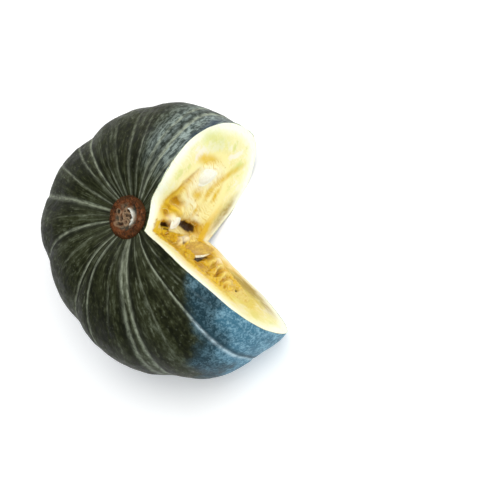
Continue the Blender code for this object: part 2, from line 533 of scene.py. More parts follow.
def facePoints(side, out, up, proud=0):
    # points of a cut face, counted from the core: out from the inner edge, up, and proud of the cut
    high = ease(up, *notch["cornerRise"])
    near = high * (1 - ease(out, 0, notch["cornerFade"][side]))
    shift, middle, half = notch["bow"][side]
    bent = shift * high * bump(out - middle, half) * ease(out, 0, notch["bendFade"])
    for shift, outFrom, outTo, upFrom, upTo in notch["bends"][side]:
        bent = bent + shift * ease(out, outFrom, outTo) * ease(up, upFrom, upTo)
    edge = innerEdge(up) + near[..., None] * notch["cornerShift"] + bent[..., None] * gapWay(side)
    return edge + out[..., None] * faceWay(side) + np.asarray(proud)[..., None] * gapWay(side)


def faceCoordinates(points, side):
    # the way back: out from the inner edge, up, and proud of the cut
    rest = points - innerEdge(points[:, 2])
    return rest @ faceWay(side), points[:, 2], rest @ gapWay(side)


def notchCutter(name, sizes, proudOf):
    # what fills the notch: two finely gridded faces that meet at the inner edge, closed far outside
    cell, fine, low, high = (sizes[key] for key in ("cell", "fine", "low", "high"))
    outs = np.concatenate([np.arange(0, fine, cell), np.linspace(fine, sizes["reach"], 6)])
    out, up = grid(outs, np.linspace(low, high, round((high - low) / cell) + 1))
    count, tall = out.shape
    right, left = (facePoints(side, out, up, proudOf(side, out, up)).reshape(-1, 3) for side in sides)
    points = np.concatenate([left, right[tall:]]) + core
    leftIndex = np.arange(count * tall).reshape(count, tall)
    rightIndex = np.concatenate([leftIndex[:1], np.arange(len(left), len(points)).reshape(count - 1, tall)])
    faces = []
    for index, turn in ((leftIndex, 1), (rightIndex, -1)):
        corners = index[:-1, :-1], index[1:, :-1], index[1:, 1:], index[:-1, 1:]
        faces += quads(*corners[::turn])
    leftEnd, rightEnd = leftIndex[-1], rightIndex[-1]
    faces += quads(leftEnd[:-1], rightEnd[:-1], rightEnd[1:], leftEnd[1:])
    for row in (0, -1):
        faces.append(leftIndex[::-1, row].tolist() + rightIndex[1:, row].tolist())
    tool = meshObject(name, points, faces)
    editMesh(tool.data, lambda work: bmesh.ops.recalc_face_normals(work, faces=work.faces))
    return tool


# Skin of the squash

skin = {
    "rings": 178,
    "columnStep": 1.15,  # degrees between columns, and closer along each streak
    "streakStep": 0.34,
    "notchStep": 4,  # degrees between columns in what the notch takes away
    "inNotch": (-128, -58),
    # pale streaks down the furrows: degrees from +X near the stem, and further out, depth in mm,
    # half width in degrees, how pale, how unbroken, the tilt below which it fades
    "streaks": (
        (-57, -49, 0.35, 0.75, 0.85, 0.9, -90), (-44, -37.5, 0.55, 0.95, 1, 0.9, -90),
        (-36, -31.5, 0.2, 0.8, 0.8, 0.7, -10), (-24, -13, 0.15, 0.7, 0.45, 0.3, 30),
        (-9, -4, 0.2, 0.8, 0.45, 0.3, 25), (4, 7.5, 0.15, 0.7, 0.5, 0.4, 35),
        (14, 13, 0.1, 0.6, 0.45, 0.3, 40), (20, 20.5, 0.1, 0.6, 0.35, 0.2, 40),
        (27.5, 28.6, 0.6, 0.8, 1, 1, -90), (34, 36.5, 0.25, 0.7, 0.62, 0.7, 0),
        (50, 49, 0.2, 0.7, 0.55, 0.6, 10), (64, 66, 0.5, 1.3, 0.85, 0.9, -20),
        (79, 80, 0.1, 0.6, 0.22, 0.2, 40), (91, 98.5, 0.6, 0.85, 1, 1, -90),
        (112, 115, 0.1, 0.6, 0.25, 0.2, 35), (131, 132, 0.55, 0.75, 1, 1, -90),
        (140, 147.6, 0.35, 0.65, 0.9, 0.9, -60), (162, 160.5, 0.15, 0.6, 0.34, 0.2, 30),
        (172.5, 173, 0.4, 1.2, 0.75, 0.7, -90), (178.5, 178.2, 0.55, 1.1, 1, 1, -90),
        (192, 191, 0.12, 0.6, 0.4, 0.3, 20), (204, 207, 0.35, 0.6, 1, 1, -90),
        (214, 219, 0.12, 0.6, 0.42, 0.3, 30), (225, 232, 0.15, 0.6, 0.36, 0.3, 20),
    ),
    # where the blue bloom and its painted bluish sheen on the flank start: tilt, degrees from +X
    "bloomAndSheenEdge": ((-40, 184), (-5, 185), (13, 193), (27, 205), (34, 212), (43, 226), (52, 236)),
    "bloomAndSheenEnd": 262,
    "bloomAndSheenFade": (-4, 7),  # degrees past that edge
    "bloomAndSheenTilt": (64, 48),  # it fades out between these tilts towards the stem
    # the paler skin beside the right cut, and the dark lane in it: where each comes and goes
    "paleTurn": ((17, 40), (75, 60)),
    "paleTilt": ((66, 44), (-8, 16)),
    "lane": (45.5, 0.35, 3),  # middle, lean, half width
    "laneTilt": ((50, 40), (8, 20)),
    "bloomAndSheenWave": 0.01,
    "wander": 0.9,  # degrees a streak wanders, less between these tilts
    "wanderTilt": (55, 80),
    "turnTilt": (12, 72),  # and it turns to its place near the stem between these
    "lumps": (0.0005, 0.021),  # height, size
    "dints": (0.00016, 0.0052),
    "ribBulge": 0.0007,
    "slim": 0.00055,  # the relief lies about the CAD's skin, not all outside it
    "stemRing": (0.009, 0.016),  # no relief inside this ring
    "foot": (0.028, 0.034),  # no lumps this far below the girth
    "blossomScar": 0.0042,
    "blossomRise": (0.0007, 0.0002),  # of the dot, and of its nine rays
    "streakRing": (0.009, 0.013),  # no streaks inside this ring
    "blossomCork": (0.0034, 0.0044),
}
streakTable = np.array(sorted(skin["streaks"], key=lambda row: row[1]))


def streakDrift(home, tilt):
    # how far a streak has wandered, in degrees, at this tilt above the girth
    at = streakTable[:, 1]
    spots = np.concatenate([at[-1:] - 360, at, at[:1] + 360])
    rows = np.concatenate([[len(at) - 1], np.arange(len(at)), [0]])
    home = (home - spots[0]) % 360 + spots[0]
    before = np.clip(np.searchsorted(spots, home, side="right") - 1, 0, len(spots) - 2)
    share = (home - spots[before]) / (spots[before + 1] - spots[before])

    def drift(row):
        turn = (streakTable[row, 0] - streakTable[row, 1]) * ease(tilt, *skin["turnTilt"])
        wave = np.sin(np.radians(tilt * 3.1) + row * 2.1) + 0.6 * np.sin(np.radians(tilt * 7.3) + row * 4.3)
        return turn + skin["wander"] * 0.6 * wave * (1 - ease(tilt, *skin["wanderTilt"]))

    return blend(drift(rows[before]), drift(rows[before + 1]), share)


def streakHome(azimuth, tilt):
    home = azimuth
    for _ in range(5):
        home = azimuth - streakDrift(home, tilt)
    return home


def streakLines(home, tilt):
    # depth, paleness and a shaded flank along every streak
    depth = pale = shade = 0
    nearStem = ease(tilt, 35, 75)
    for row, (_, at, deep, width, strength, whole, fadeTilt) in enumerate(streakTable):
        off = wrapDegrees(home - at)
        wide = width * (1 + 1.1 * nearStem)
        line = bump(off, wide)
        depth = depth + line * deep
        spots = stack(tilt, np.full_like(tilt, 9 * row), off * 0.5)
        broken = blend(ease(softNoise(spots, 9, 71), -0.45, 0.25), 1, whole * 0.9)
        broken = broken * ease(tilt, fadeTilt - 6, fadeTilt + 14)
        pale = np.maximum(pale, line * strength * broken)
        side = 1 if row % 2 else -1
        flank = bump(off - side * 2.1 * wide, 1.5 * wide)
        shade = np.maximum(shade, strength * (0.4 + 0.6 * broken) * flank)
    return depth * millimetre, pale, shade


def bloomSheenAndPatches(azimuth, tilt, points):
    # where the waxy blue bloom, painted with a bluish sheen, lies on the flank, and the paler skin beside
    # the other cut face
    tilts, starts = np.array(skin["bloomAndSheenEdge"]).T
    turned, beside = azimuth % 360, -wrapDegrees(azimuth)
    wave = softNoise(points, skin["bloomAndSheenWave"], 72)
    onFlank = turned - np.interp(tilt, tilts, starts) + 5 * wave
    blue = ease(onFlank, *skin["bloomAndSheenFade"]) * (turned < skin["bloomAndSheenEnd"]) * ease(tilt, *skin["bloomAndSheenTilt"])
    (near, far), (high, low) = skin["paleTurn"], skin["paleTilt"]
    pale = ease(beside, *near) * ease(beside, *far) * ease(tilt, *high) * ease(tilt, *low)
    (middle, lean, half), (high, low) = skin["lane"], skin["laneTilt"]
    lane = middle + lean * np.maximum(tilt - low[1], 0)
    navy = bump(beside - lane + 1.5 * wave, half) * ease(tilt, *high) * ease(tilt, *low)
    return {"bloom": blue, "bloomAndSheenDeep": ease(onFlank - 0.25 * tilt, 0, 26),
            "paleSkin": pale * (0.8 + 0.2 * wave), "navySkin": navy}


def skinTilt(points):
    return np.degrees(np.arctan2(points[..., 2], polar(points)[1]))


def makeSkin():
    columns = list(np.arange(-180, 180, skin["columnStep"]))
    for spot in streakTable[:, 1]:
        columns += list(spot + skin["streakStep"] * np.arange(-5, 6))
    columns = np.unique(np.round(wrapDegrees(np.array(columns)), 3))
    kept = [columns[0]]
    first, last = skin["inNotch"]
    for column in columns[1:]:
        if column - kept[-1] > (skin["notchStep"] if first < column < last else 0.62 * skin["streakStep"]):
            kept.append(column)
    latitude, home = grid(evenLatitudes(skin["rings"]), np.array(kept))
    tilt = skinTilt(rindPoints(latitude, np.radians(home)))
    azimuth = np.radians(home + streakDrift(home, tilt))
    points = rindPoints(latitude, azimuth)
    reach, height = polar(points)[1], points[..., 2]
    tall = np.where(height > 0, fruit["crownHeight"], fruit["baseDepth"])
    outward = points.copy()
    outward[..., 2] *= (fruit["meanRadius"] / tall) ** 2
    outward = unit(outward)
    strong = wrapDegrees(np.array(fruit["grooves"]))
    gaps = np.abs(wrapDegrees(home[..., None] - strong)).min(axis=-1)
    bulge = skin["ribBulge"] * ease(gaps, 0, 14)
    lumps = relief(points, skin["lumps"], 11) + relief(points, skin["dints"], 12)
    lumps = lumps * (1 - ease(-height, *skin["foot"]))
    rise = (bulge - skin["slim"] + lumps - streakLines(home, tilt)[0]) * ease(reach, *skin["stemRing"])
    # the corky dot where the blossom was
    dot = np.where(height < 0, 1 - ease(reach, 0.75 * skin["blossomScar"], skin["blossomScar"]), 0)
    plain, rayed = skin["blossomRise"]
    rise += dot * (plain + rayed * (np.cos(9 * azimuth) * ease(reach, 0.0005, 0.002)))
    points = points + outward * rise[..., None]
    points[..., 2] = np.maximum(points[..., 2], -core[2])  # the foot stands flat
    return closedGrid("cutSquash", points + core)


def cavityBlob(name, inset):
    latitude = np.linspace(np.pi / 2, -np.pi / 2, cavity["rings"] + 2)[1:-1]
    azimuth = np.linspace(-np.pi, np.pi, cavity["columns"], endpoint=False)
    points = cavityPoints(*grid(latitude, azimuth), inset)
    outward = unit(points - upright * cavity["middle"])
    points = points + outward * relief(points, cavity["lumps"], 21)[..., None]
    return closedGrid(name, points + core)


def knifeWaves(side, out, up):
    # the knife leaves the flesh nearly flat
    layer = np.full(out.shape, 0.3 if side == "left" else 0.9)
    wave = softNoise(stack(out, up, layer), notch["waveSize"], 31, 2)
    scored = 0.12 * np.sin(out / notch["scoreSize"] + 0.5 * up / notch["scoreSize"] + 2 * wave)
    return notch["waviness"] * (wave + scored) * ease(out, 0, notch["waveFade"])


def makeBody():
    body = makeSkin()
    mesh = body.data
    mesh.materials.append(rindFinish())
    mesh.materials.append(fleshFinish())
    for tool in (cavityBlob("cavity", 0), notchCutter("notch", notch, fleshProud)):
        for material in body.data.materials:
            tool.data.materials.append(material)
        tool.data.polygons.foreach_set("material_index", [1] * len(tool.data.polygons))
        cutAway(body, tool)
    mesh = body.data
    points = meshPoints(mesh) - core
    tilt = skinTilt(points)
    azimuth, reach = polar(points)
    azimuth = np.degrees(azimuth)
    _, pale, shade = streakLines(streakHome(azimuth, tilt), tilt)
    offRing = ease(reach, *skin["streakRing"])
    store(mesh, "streak", pale * offRing)
    store(mesh, "streakShade", shade * offRing)
    for name, values in bloomSheenAndPatches(azimuth, tilt, points).items():
        store(mesh, name, values)
    store(mesh, "blossomScar", np.where(points[:, 2] < 0, 1 - ease(reach, *skin["blossomCork"]), 0))
    inFlesh = sorted({corner for face in mesh.polygons if face.material_index for corner in face.vertices})
    depth = np.zeros(len(points))
    depth[inFlesh] = distanceToProfile(points[inFlesh])
    store(mesh, "underRind", depth)
    store(mesh, "fromCavity", distanceFromCavity(points))
    # tinges of the cut faces' flesh, partly painted shade
    tingesAndShade = {kind: np.zeros(len(points)) for kind in ("green", "gold", "ochre")}
    torn, lie, share = np.zeros((len(points), 3)), points / millimetre, np.zeros(len(points))
    for side in sides:
        out, up, proud = faceCoordinates(points, side)
        onCut = np.abs(proud) < fleshLook["cutDepth"]
        for atOut, atUp, halfLong, halfWide, turn, kind, strength in fleshLook["tingesAndShade"][side]:
            a, b = leanAlong(out / millimetre - atOut, up / millimetre - atUp, turn)
            spot = bump((a / halfLong) ** 2 + (b / halfWide) ** 2, 1, 1.2)
            tingesAndShade[kind] = np.maximum(tingesAndShade[kind], spot * strength * onCut)
        chosen = onCut & (out > -fleshLook["pastEdge"])
        _, torn[chosen], lie[chosen] = tornField(side, out[chosen], up[chosen])
        share[chosen] = 1 - ease(distanceFromCavity(points[chosen]), 0, pulp["spill"])
    for kind, values in tingesAndShade.items():
        store(mesh, kind + "TingeAndShade", values)
    store(mesh, "tornTint", torn, "FLOAT_COLOR")
    store(mesh, "lie", lie, "FLOAT_VECTOR")
    store(mesh, "tornShare", share)
    shadeCrisp(mesh, 35)
    print("body:", len(mesh.polygons), "faces,", len(inFlesh), "points in the flesh")
    return body


rindTints = {
    "deep": (0.0055, 0.0068, 0.0016),
    "dark": (0.0115, 0.0135, 0.0036),
    "mid": (0.03, 0.0345, 0.013),
    "light": (0.084, 0.096, 0.059),
    "streak": (0.33, 0.36, 0.265),
    # these four colours carry the bloom's painted bluish sheen
    "frost": (0.5, 0.62, 0.66),
    "bloomDark": (0.014, 0.042, 0.056),
    "bloom": (0.06, 0.176, 0.248),
    "bloomPale": (0.25, 0.44, 0.53),
    "paleDark": (0.075, 0.1, 0.094),
    "pale": (0.4, 0.49, 0.46),
    "navy": (0.012, 0.03, 0.062),
    "cork": (0.23, 0.15, 0.075),
}


def rindFinish():
    place = newFinish("darkRind", rindTints, IOR=1.45, Specular_IOR_Level=0.13)
    spot = doVector("SUBTRACT", place, tuple(core))
    level = doVector("MULTIPLY", spot, (1, 1, 0))
    way = doVector("NORMALIZE", level)
    height = addNode("ShaderNodeSeparateXYZ", {0: spot}).outputs[2]
    reach = addNode("ShaderNodeVectorMath", {0: level}, operation="LENGTH").outputs["Value"]
    along = minus(times(reach, 0.8), height)
    lift = addNode("ShaderNodeCombineXYZ", {2: times(along, 2.2)}).outputs[0]
    ribbons = addNoise(doVector("ADD", way, lift), 9, 5, 0.62, 0.25)
    hairs = addNoise(doVector("ADD", way, doVector("MULTIPLY", lift, (1, 1, 2.6))), 34, 4, 0.6, 0.35)
    patches = addNoise(place, 42, 4, 0.6)
    mottle = addNoise(place, 250, 6, 0.68)
    grain = addNoise(place, 760, 3, 0.6)
    # streaky near the stem, blotchy further out
    tone = plus(times(ribbons, 0.3), times(hairs, 0.26))
    for part, share in ((mottle, 0.22), (patches, 0.22), (spread(reach, 0.03, 0.075), 0.012)):
        tone = plus(tone, times(part, share))
    colour = addRamp(tone, ((0.425, "deep"), (0.475, "dark"), (0.53, "mid"), (0.61, "light")))
    # fine pale scratches that run down from the stem
    scratch = times(spread(hairs, 0.56, 0.7), spread(patches, 0.38, 0.62, (0.03, 0.24)))
    # pale freckles, thick in some patches and thin in others
    cells = addNode("ShaderNodeTexVoronoi", {"Vector": place, "Scale": 420, "Randomness": 1})
    thick = spread(addNoise(place, 55, 3, 0.6), 0.42, 0.68)
    freckle = times(spread(cells.outputs["Distance"], 0.3, 0.12), thick)
    # paler skin beside the right cut face, with a dark blue lane in it
    brushed = plus(times(hairs, 0.6), times(mottle, 0.4))
    paleSkin = mixColours(spread(brushed, 0.43, 0.58), "paleDark", "pale")
    colour = layers(colour, (scratch, "streak"), (times(freckle, 0.14), "streak"),
                    (times(read("paleSkin"), 0.85), paleSkin), (times(read("navySkin"), 0.85), "navy"))
    # waxy bloom on the flank beside the left cut face, with a painted bluish sheen that grows bluer further
    # into the flank
    bloom = read("bloom")
    deep = plus(read("bloomAndSheenDeep"), times(minus(patches, 0.5), 1.3))
    base = mixColours(spread(deep, 0.05, 0.75), "bloomDark", "bloom")
    specks = plus(times(grain, 0.45), times(mottle, 0.55))
    paleWax = times(spread(specks, 0.44, 0.62), spread(deep, -0.1, 0.9, (0.25, 1)))
    # the streaks, each with a shaded flank and bluish where the painted sheen lies, and the corky dot of the
    # blossom
    shade = times(read("streakShade"), 0.8)
    line = times(read("streak"), spread(brushed, 0.4, 0.58, (0.35, 1)))
    colour = layers(colour, (times(bloom, 0.94), mixColours(paleWax, base, "bloomPale")),
                    (shade, mixColours(bloom, "deep", "bloomDark")),
                    (times(line, 0.92), mixColours(bloom, "streak", "frost")),
                    (read("blossomScar"), "cork"))
    normal = addBump(plus(times(mottle, 0.6), times(hairs, 0.5)), 0.45, 0.0006)
    return endFinish(Base_Color=colour, Roughness=spread(mottle, 0.35, 0.7, (0.42, 0.66)),
                     Normal=addBump(grain, 0.25, 0.0003, normal))


fleshLook = {
    "cutDepth": 0.005,  # a point this near a cut plane lies on that cut,
    "pastEdge": 0.003,  # and it may lie this far past the inner edge
    # tinges over the cut faces' flesh: the ochre ones, and the gold and green ones on the left face's low
    # band and far end, are painted shade where the faces lie in shadow; the rest is the flesh's own colour
    # out, up, half length, half width, turn in degrees, kind, how strongly; lengths in mm
    "tingesAndShade": {
        "right": (
            (60, 20, 14, 6.5, 88, "green", 0.8), (50.5, -15, 6, 2.6, -55, "green", 0.9),
            (60.5, 0, 3.5, 1.4, 40, "green", 0.9), (14, 34, 7, 4, 15, "gold", 0.4),
            (5, -16, 10, 8, -35, "gold", 1.3), (15, -19, 12, 4, -15, "gold", 0.65),
            (20, -27, 14, 4.6, -12, "ochre", 0.95), (47.5, 17.5, 9.5, 3.2, 95, "gold", 0.75),
            (48, -13.5, 8, 2.4, -50, "gold", 0.65),
        ),
        "left": (
            (46, -20, 17, 12.5, 12, "ochre", 1.3), (26, -24, 15, 11, -3, "gold", 1),
            (62, -19, 11, 8, 30, "ochre", 0.85), (8, -27, 14, 7, 30, "gold", 0.9),
            (66, 4, 20, 11, 60, "gold", 0.5), (64, 6, 28, 18, 60, "green", 0.6),
            (48, 29, 30, 9, -20, "gold", 0.6), (12, 33, 12, 3.5, 5, "gold", 0.22),
        ),
    },
    "tints": {
        "green": (0.04, 0.06, 0.028),
        "underGreen": (0.56, 0.62, 0.4),
        "rim": (0.9, 0.9, 0.75),
        "cream": (0.835, 0.772, 0.415),
        "yellow": (0.8, 0.69, 0.3),
        "gold": (0.72, 0.45, 0.03),
        "ochre": (0.33, 0.21, 0.002),
        # painted shade on the flesh's low band
        "greenish": (0.64, 0.64, 0.19),
        "lilac": (0.85, 0.79, 0.69),
    },
}


def fleshFinish():
    place = newFinish("creamFlesh", fleshLook["tints"], IOR=1.4, Specular_IOR_Level=0.14,
                      Subsurface_Weight=0.2, Subsurface_Scale=0.003, Subsurface_Radius=(1, 0.7, 0.3))
    depth = times(read("underRind"), 1 / cavity["sideWall"])
    wobble = minus(addNoise(place, 120, 4, 0.6), 0.5)
    depth = plus(depth, times(wobble, spread(depth, 0, 0.5, (0.01, 0.35))))
    colour = addRamp(depth, ((0, "green"), (0.006, "green"), (0.012, "underGreen"), (0.024, "rim"),
                             (0.16, "rim"), (0.38, "cream"), (0.9, "yellow")))
    near = spread(plus(read("fromCavity"), times(wobble, 0.01)), 0.0055, 0)
    lie = read("lie", "Vector")
    threads = addNoise(doVector("MULTIPLY", lie, (0.16, 0.95, 1)), 1, 5, 0.65, 0.3)
    blotches = addNoise(place, 75, 3, 0.6)
    inner = spread(depth, 0.15, 0.45)
    colour = layers(colour, (times(near, 0.25), "gold"), (spread(threads, 0.5, 0.72, (0, 0.45)), "rim"),
                    (spread(threads, 0.48, 0.34, (0, 0.3)), "yellow"),
                    (times(spread(blotches, 0.51, 0.62, (0, 0.8)), inner), "lilac"),
                    (times(spread(blotches, 0.47, 0.36, (0, 0.6)), inner), "greenish"))
    # torn pulp that runs over the flesh beside the seed cavity
    share = read("tornShare")
    worn = plus(share, times(minus(threads, 0.5), 1.2))
    worn = times(spread(worn, 0.22, 0.75), spread(share, 0, 0.1))
    colour = mixColours(worn, colour, read("tornTint", "Color"))
    uneven = spread(addNoise(place, 190, 4, 0.6), 0.3, 0.62, (0.58, 1))
    # the tinges: partly the flesh's own colour, partly painted shade
    for kind, tint in (("green", "greenish"), ("gold", "gold"), ("ochre", "ochre")):
        colour = mixColours(times(read(kind + "TingeAndShade"), uneven, True), colour, tint)
    return endFinish(Base_Color=colour, Roughness=spread(threads, 0.3, 0.7, (0.42, 0.62)),
                     Normal=addBump(threads, 0.35, 0.0004))


# Pulp that fills the seed cavity, torn where the wedge came away

pulp = {
    "cell": 0.00055,
    "fine": 0.066,
    "reach": 0.14,
    "low": -0.0215,
    "high": 0.037,
    "grain": 65,  # degrees that the strings lean from level
    "farGrain": (0.04, -38),  # and beyond this far out on the right face
    "level": -0.0006,
    "spill": 0.0085,  # how far torn pulp runs over the flesh
    "border": 0.45,  # share of the tear's relief that is left at the border
    "borderWidth": 0.004,
    "shy": 0.00004,  # the tear stays this far inside the cut
    "edgeFade": 0.0022,  # the relief dies out towards the inner edge, the top and the bottom
    "endFade": 0.002,
    "faceReach": 0.008,  # points within this of a cut plane belong to it,
    "pastEdge": 0.002,  # and they may lie this far past the inner edge
    "featureGrain": 0.0003,
    "chunks": 150,
    "chunkStep": {"right": 0.0002, "left": 0.001},
    "pillow": {"right": 0.00005, "left": 0.0003},
    "ridge": {"right": 0.00012, "left": 0.0005},
    "paleShare": {"right": 1.28, "left": 0.1},
    "paleTint": {"right": "cream", "left": "pale"},
    "stringBlue": {"right": 0.12, "left": 0.4},  # no loose strings on pulp with more blue than this
    "seed": {"right": 43, "left": 44},
    "layer": {"right": 3, "left": 47},  # each face has its own slice of the noise
    # sunk features carry darker tints (orange, amber, deep, dark) and raised ones paler (white, pale):
    # partly the pulp's own colour, partly painted shade in its hollows; the dark tint is painted shade in
    # the deepest gaps and slits
    # out, up, half length, half width, turn in degrees, proud, tint, how strongly; lengths in mm
    "features": {
        "right": (
            (14.5, 29, 10, 7, 30, -0.8, "gold", 1.5), (18, 25, 8, 3, 76, -3, "orange", 1.5),
            (9.5, 28.5, 7, 1.3, 68, -2.2, "orange", 1.2), (13.8, 30.5, 6, 1.1, 72, -2, "orange", 1.1),
            (19.5, 33, 5.5, 1.6, -35, -2.4, "orange", 1.2), (30, 25, 11, 3.4, -25, -0.8, "gold", 1.1),
            (30.5, 26.5, 10.5, 1.3, -25, -1.8, "orange", 0.9), (25, 20, 6, 1.2, 55, -0.7, "gold", 1.2),
            (22.5, 17, 9, 2.4, 45, 0, "white", 0.5), (20, 8, 8, 2.4, 60, -0.1, "white", 0.5),
            (12, -1, 9, 2.6, 70, 0, "white", 0.5), (27, 10, 6, 4.2, 60, -0.5, "gold", 1),
            (32, -2, 9, 2.6, -10, -0.6, "gold", 1.1), (29, -8.5, 6, 2.2, 0, -0.6, "gold", 0.9),
            (42, -7.5, 8, 2.5, -36, -0.8, "gold", 1), (49, -14, 7, 2.3, -50, -0.5, "gold", 0.9),
            (47.5, 17.5, 9.5, 3.2, 95, -0.5, "gold", 0.8), (43, 10, 12, 1.8, 97, 0.3, "white", 0.5),
            (16, 2.5, 3.4, 2.2, 0, -0.5, "gold", 0.9), (37, 10, 14, 8, -68, -0.4, "white", 0.8),
            (5.5, -7, 7, 3.4, 82, -1.4, "orange", 1.3), (6, -17, 7, 5, 60, -0.4, "gold", 1.1),
            (11.5, 18, 6.5, 2.4, 72, 1.9, "gold", 0.8), (5.5, 18, 6.5, 2.8, 68, 1.9, "white", 1.35),
            (3, 25.5, 6.5, 2.6, 86, -2, "orange", 1.1), (1.9, 22.5, 5.5, 1.6, 86, -3.2, "dark", 2.2),
            (5.4, -1, 12, 4.8, 80, -1.6, "orange", 1.35), (4.8, 0.6, 10, 2.8, 80, -3.2, "dark", 2.3),
        ),
        "left": (
            (15, 28, 8, 4.5, 35, -1, "deep", 1.1), (26, 30.5, 5, 3, 30, -1.6, "deep", 1.1),
            (7.5, 22.5, 2.6, 1.5, 55, -4, "dark", 1.4), (8, 14.5, 8, 1.8, 60, 1.2, "white", 0.55),
            (4, 4, 5, 2.2, 62, 2.4, "white", 0.85), (8, -4, 7, 2.4, 62, 0.8, "gold", 1.1),
            (3, -11, 8, 3.2, 72, 0.4, "gold", 1), (15, 7, 11, 4.6, 64, -1, "gold", 1),
            (4.5, 19, 9, 2.2, 62, -1.2, "amber", 1.2), (10, 6, 10, 1.6, 64, -2, "amber", 1.2),
            (7, 9, 5, 1.2, 60, -3, "dark", 1.1), (33, 20, 8, 4.4, 66, -0.8, "deep", 1.2),
            (27, -1, 12, 1.9, 66, 2.4, "pale", 0.8), (30.2, 2, 12, 1.2, 67, -0.8, "amber", 1.3),
            (24, -13, 8, 2.6, 62, 2.6, "white", 1), (33.8, 1, 13, 1.8, 64, 3.2, "pale", 1),
            (37.6, 5, 13, 1.4, 66, -1.4, "amber", 1.4), (38.2, 6, 9, 0.6, 66, -2.2, "deep", 1.3),
            (41.2, 4, 12, 1.8, 63, 2.6, "pale", 0.85), (44.8, 8, 12, 1.2, 66, -1.2, "amber", 1.3),
            (48.2, 8, 11, 1.7, 65, 2, "pale", 0.9), (61, 6, 21, 7.5, 66, 0.1, "straw", 1.3),
            (54, -14, 12, 6, 30, 0.1, "straw", 0.8), (51.8, 2, 5, 1.2, 62, -2.4, "dark", 1.1),
            (51.5, 14.5, 5.5, 1.1, 66, -1.6, "orange", 1), (20, 0.5, 21, 3.6, 68, -2, "orange", 1.3),
            (19.5, 0.5, 19, 2.2, 68, -4, "dark", 2.1), (13.5, -15, 9, 2, 70, -3, "orange", 1.3),
        ),
    },
    "tints": {
        "deep": (0.43, 0.215, 0.005),
        "amber": (0.56, 0.32, 0.004),
        "gold": (0.7, 0.445, 0.018),
        "orange": (0.49, 0.245, 0.003),
        "pale": (0.85, 0.68, 0.19),
        "cream": (0.86, 0.755, 0.35),
        "straw": (0.69, 0.53, 0.115),
        "white": (0.9, 0.86, 0.7),
        # painted shade for the deepest gaps and slits
        "dark": (0.034, 0.013, 0.002),
        "darker": (0.86, 0.68, 0.36),  # multiplies the tint between the threads
    },
}


def nearestChunks(spots, centres):
    # distance to the nearest and the next centre, and which is nearest
    gaps = ((spots[:, None] - centres[None]) ** 2).sum(-1)
    nearest = gaps.argmin(axis=1)
    gaps.partition(1, axis=1)
    return np.sqrt(gaps[:, 0]), np.sqrt(gaps[:, 1]), nearest


def tornField(side, out, up):
    # how far the torn pulp stands proud, its colour, and where it lies along its strings
    outMm, upMm = out / millimetre, up / millimetre
    along, across = leanAlong(outMm, upMm, pulp["grain"])
    layer = np.full_like(out, pulp["layer"][side])
    spots = stack(outMm, upMm, layer)
    bend = softNoise(spots, 9, 41, 2)
    lie = stack(along, across + 1.6 * bend, layer)
    random = np.random.default_rng(pulp["seed"][side])
    centres = random.uniform((-25, -75), (45, 40), (pulp["chunks"], 2))
    tones = random.random((pulp["chunks"], 2))
    first, second, nearest = nearestChunks(stack(along / 2.4, across + 2.6 * bend), centres)
    pillow = ease(second - first, 0, 2)
    strand = 1 - np.abs(softNoise(lie / (12, 1.9, 1), 1, 45, 2))
    rough = softNoise(spots, 3.4, 46)
    step = (tones[nearest, 0] - 0.5) * pillow
    proud = pulp["level"] + pulp["chunkStep"][side] * step + pulp["pillow"][side] * (pillow - 0.6)
    proud = proud + pulp["ridge"][side] * (2 * strand - 1.2 + 1.2 * rough)
    tints = {name: np.array(colour) for name, colour in pulp["tints"].items()}
    # darker where the pulp lies low at chunk borders and between strands, paler where it stands proud:
    # partly its own colour, partly painted shade in the low places and painted light on the raised ones
    body = ease(0.45 * pillow + 0.45 * strand + 0.35 * rough, 0.15, 0.7)
    colour = blend(tints["deep"], tints["gold"], body[:, None])
    pale = 0.35 * tones[nearest, 1] + 0.25 * pillow + 0.55 * strand + 0.35 * rough + pulp["paleShare"][side]
    colour = blend(colour, tints[pulp["paleTint"][side]], ease(pale, 1, 1.6)[:, None])
    for atOut, atUp, halfLong, halfWide, turn, height, tint, strength in pulp["features"][side]:
        a, b = leanAlong(outMm - atOut, upMm - atUp, turn)
        reach = ((a / halfLong) ** 2 + ((b + 1.1 * bend) / halfWide) ** 2) * (1 + 0.35 * rough)
        weight = bump(np.maximum(reach, 0), 1, 1.4)
        grain = pulp["featureGrain"]
        proud = blend(proud, height * millimetre + grain * rough + grain * (strand - 0.6), weight * 0.88)
        mixed = weight * strength * (0.8 + 0.45 * (strand - 0.5) + 0.2 * rough)
        # painted shade in the gaps gets a firmer edge
        mixed = ease(mixed, 0.45, 1.05) if tint == "dark" else np.clip(mixed, 0, 1)
        colour = blend(colour, tints[tint], mixed[:, None])
    return proud, colour, lie


def tornProud(side, out, up):
    shape = out.shape
    out, up = out.ravel(), up.ravel()
    inside = ease(-distanceFromCavity(facePoints(side, out, up)), 0, pulp["borderWidth"])
    proud = tornField(side, out, up)[0] * (pulp["border"] + (1 - pulp["border"]) * inside)
    # both faces run together at the inner edge
    proud = (proud + knifeWaves(side, out, up) * (1 - inside) - pulp["shy"]) * ease(out, 0, pulp["edgeFade"])
    low, high, fade = pulp["low"], pulp["high"], pulp["endFade"]
    window = ease(up, low, low + fade) * (1 - ease(up, high - fade, high))
    return (proud * window).reshape(shape)


def fleshProud(side, out, up):
    # knife marks, and torn pulp that runs over them beside the seed cavity
    outside = distanceFromCavity(facePoints(side, out, up))
    spill = pulp["border"] * (1 - ease(outside, 0, 0.8 * pulp["spill"])) * ease(out, 0, pulp["edgeFade"])
    torn = tornField(side, out.ravel(), up.ravel())[0].reshape(out.shape)
    return knifeWaves(side, out, up) + torn * spill


body = makeBody()
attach(body, "root")
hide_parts("squash_body")


